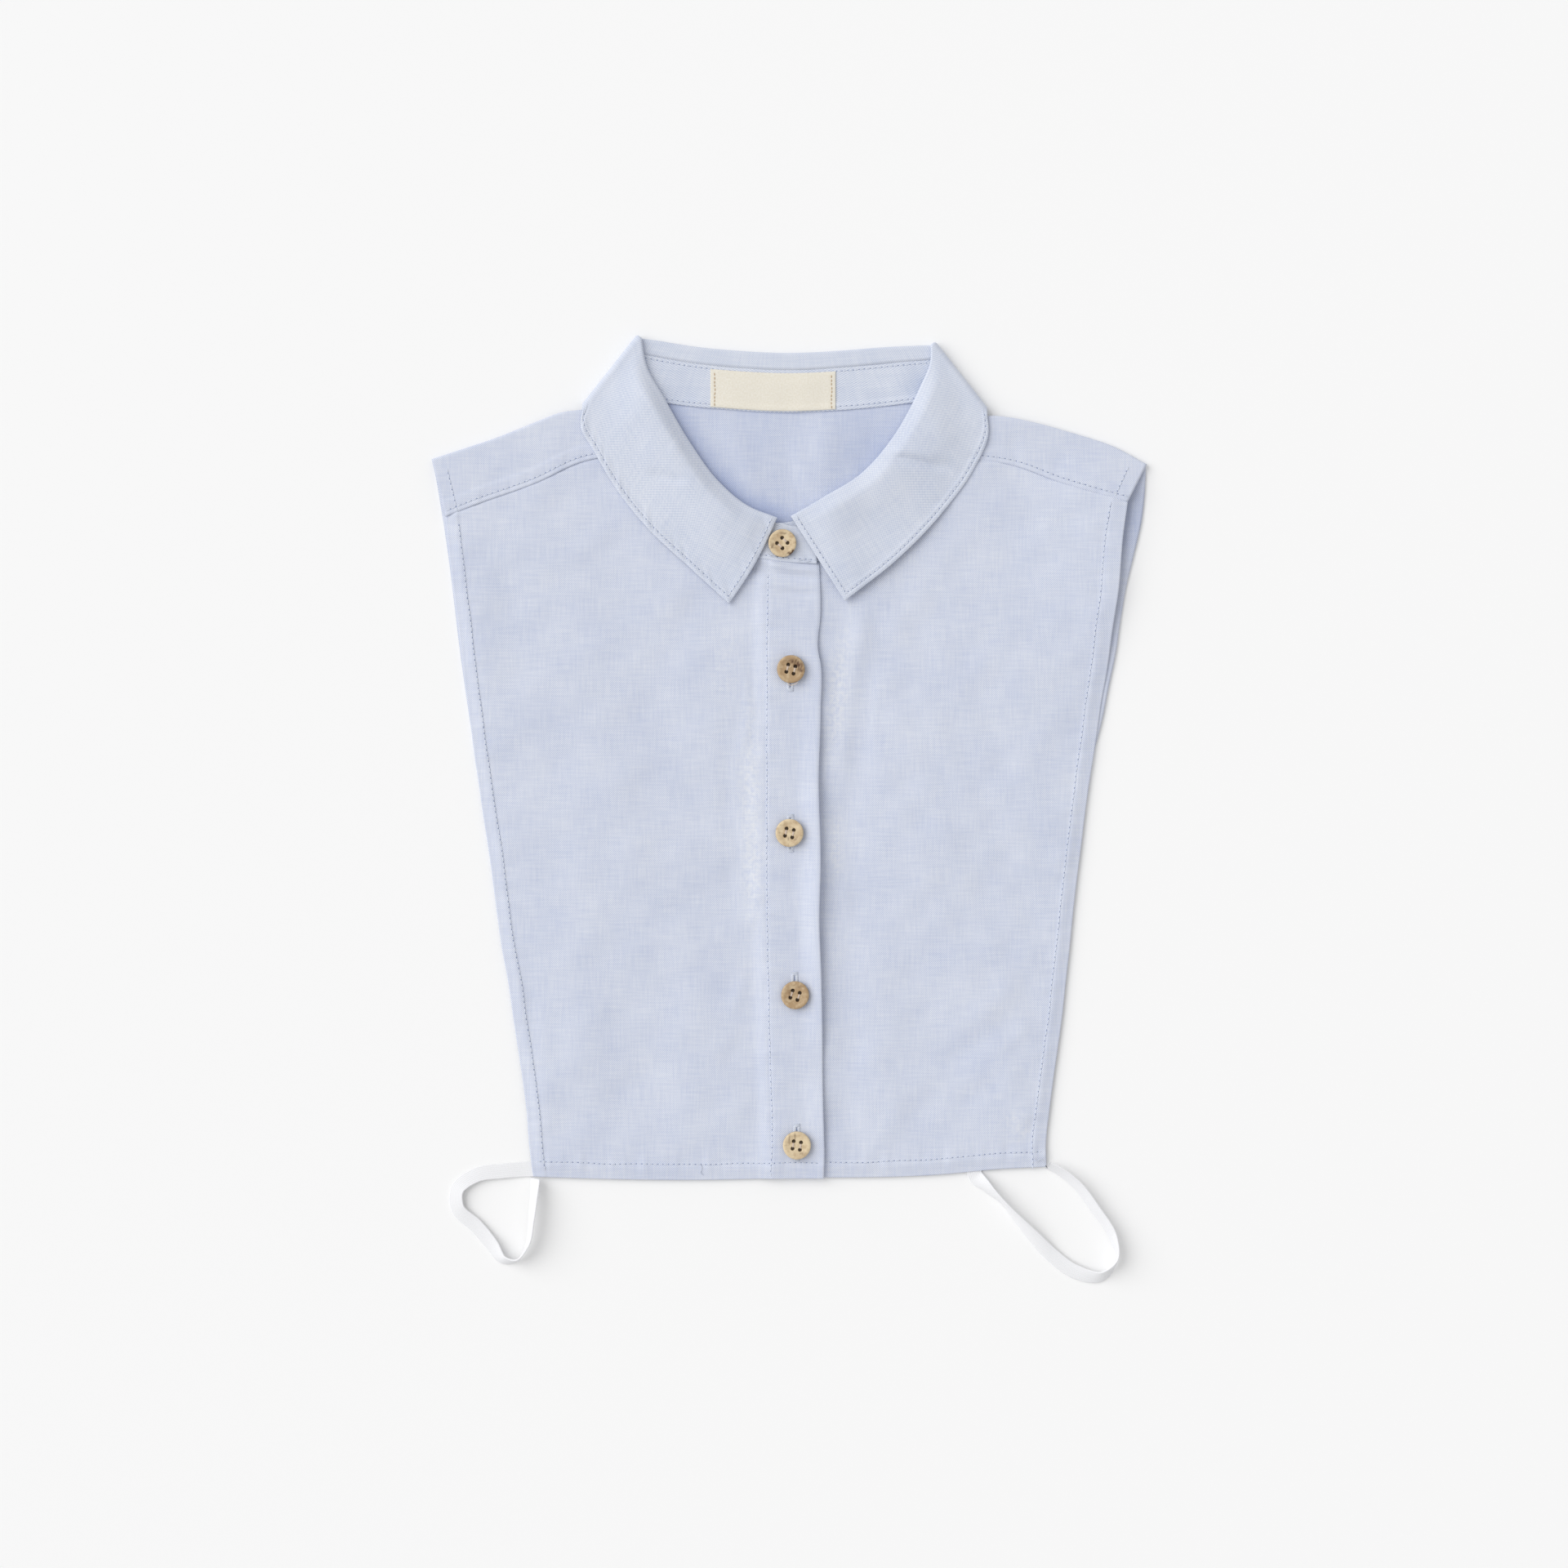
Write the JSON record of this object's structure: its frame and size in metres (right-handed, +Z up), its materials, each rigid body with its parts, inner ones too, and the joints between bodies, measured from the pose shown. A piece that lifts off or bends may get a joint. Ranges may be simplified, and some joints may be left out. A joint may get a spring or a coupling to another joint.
{
  "type": "detachable shirt collar",
  "caption": "Child's detachable shirt collar on a sleeveless buttoned front and back, laid flat, with elastic side loops, worn under a knitted top.",
  "frame": {"origin": "on the surface the garment lies on, under the middle of its outline", "axes": "+X to the viewer's right, +Y towards the collar, +Z up out of the surface"},
  "size_m": [0.2918, 0.3866, 0.0082],
  "materials": {
    "oxford_cotton": "fine pale blue oxford weave, matt",
    "woven_label": "cream woven satin, bare",
    "coconut_shell": "turned and lightly polished, brown flecks",
    "knitted_elastic": "white knitted elastic, matt"
  },
  "bodies": {
    "root": {"back": "oxford_cotton", "front_left": "oxford_cotton", "front_right": "oxford_cotton", "collar_stand": "oxford_cotton", "collar_fall": "oxford_cotton", "label": "woven_label", "button_1": "coconut_shell", "button_2": "coconut_shell", "button_3": "coconut_shell", "button_4": "coconut_shell", "button_5": "coconut_shell", "elastic_left": "knitted_elastic", "elastic_right": "knitted_elastic"}
  },
  "joints": []
}
